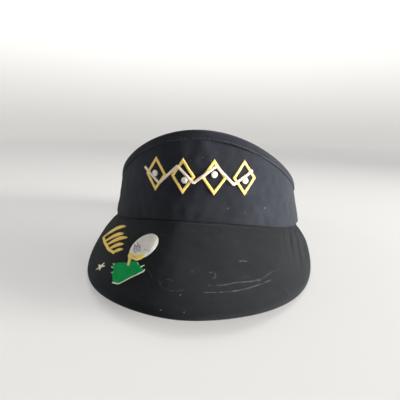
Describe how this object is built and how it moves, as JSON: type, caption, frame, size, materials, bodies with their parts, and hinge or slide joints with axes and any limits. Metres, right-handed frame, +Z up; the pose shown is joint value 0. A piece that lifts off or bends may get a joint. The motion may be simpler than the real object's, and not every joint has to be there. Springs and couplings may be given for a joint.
{
  "type": "sun visor",
  "caption": "Open-top sun visor with a tall dark cloth front, an arched bill, stitched golf-themed ornament, a terry sweatband and a snap strap closure.",
  "frame": {"origin": "on the table under the middle of the whole visor's bounding box", "axes": "-Y is the way the bill points, +X is the viewer's right when looking at the front, +Z is up as the visor stands on a table"},
  "size_m": [0.1906, 0.2752, 0.1075],
  "materials": {
    "band_cloth": "brushed cotton twill, matt",
    "bill_cloth": "cotton twill pulled flat, matt with slight rub marks",
    "lining_cloth": "plain cotton facing, matt",
    "sweatband_terry": "short looped terry, matt",
    "buckram": "stiffened open weave",
    "bill_board": "sheet board, dull",
    "dark_thread": "spun polyester thread",
    "gold_thread": "satin-stitched rayon thread with a soft sheen",
    "cream_thread": "satin-stitched rayon thread",
    "white_thread": "satin-stitched rayon thread",
    "violet_thread": "satin-stitched rayon thread",
    "green_thread": "fill-stitched rayon thread",
    "snap_plastic": "moulded polyethylene, satin"
  },
  "bodies": {
    "root": {"crown_shell": "band_cloth", "top_binding": "band_cloth", "left_rear_tab": "band_cloth", "right_rear_tab": "band_cloth", "crown_stiffener": "buckram", "crown_lining": "lining_cloth", "sweatband": "sweatband_terry", "binding_stitches": "dark_thread", "sweatband_stitches": "dark_thread", "left_bar_tack": "dark_thread", "right_bar_tack": "dark_thread", "bill_top_cover": "bill_cloth", "bill_under_cover": "bill_cloth", "bill_board": "bill_board", "crown_lozenge_1": "gold_thread", "crown_lozenge_2": "gold_thread", "crown_lozenge_3": "gold_thread", "crown_lozenge_4": "gold_thread", "crown_chevron_band": "cream_thread", "crown_dot_1": "white_thread", "crown_dot_2": "white_thread", "crown_dot_3": "white_thread", "crown_dot_4": "white_thread", "bill_sprig": "gold_thread", "bill_star": "cream_thread", "bill_ball": "white_thread", "bill_ball_shade": "violet_thread", "bill_tee": "gold_thread", "bill_turf": "green_thread", "bill_turf_outline": "white_thread"},
    "holes_strap": {"snap_strap_holes": "snap_plastic"},
    "studs_strap": {"snap_strap_studs": "snap_plastic"}
  },
  "joints": [
    {"name": "holes_strap_flex", "type": "hinge", "parent": "root", "child": "holes_strap", "pos_m": [0.04203, 0.12612, 0.0125], "axis": [0, 0, -1], "range_deg": [0, 85], "stiffness_Nm_per_rad": 0.02},
    {"name": "studs_strap_flex", "type": "hinge", "parent": "root", "child": "studs_strap", "pos_m": [-0.04134, 0.12478, 0.0125], "axis": [0, 0, -1], "range_deg": [0, 60], "stiffness_Nm_per_rad": 0.02}
  ]
}
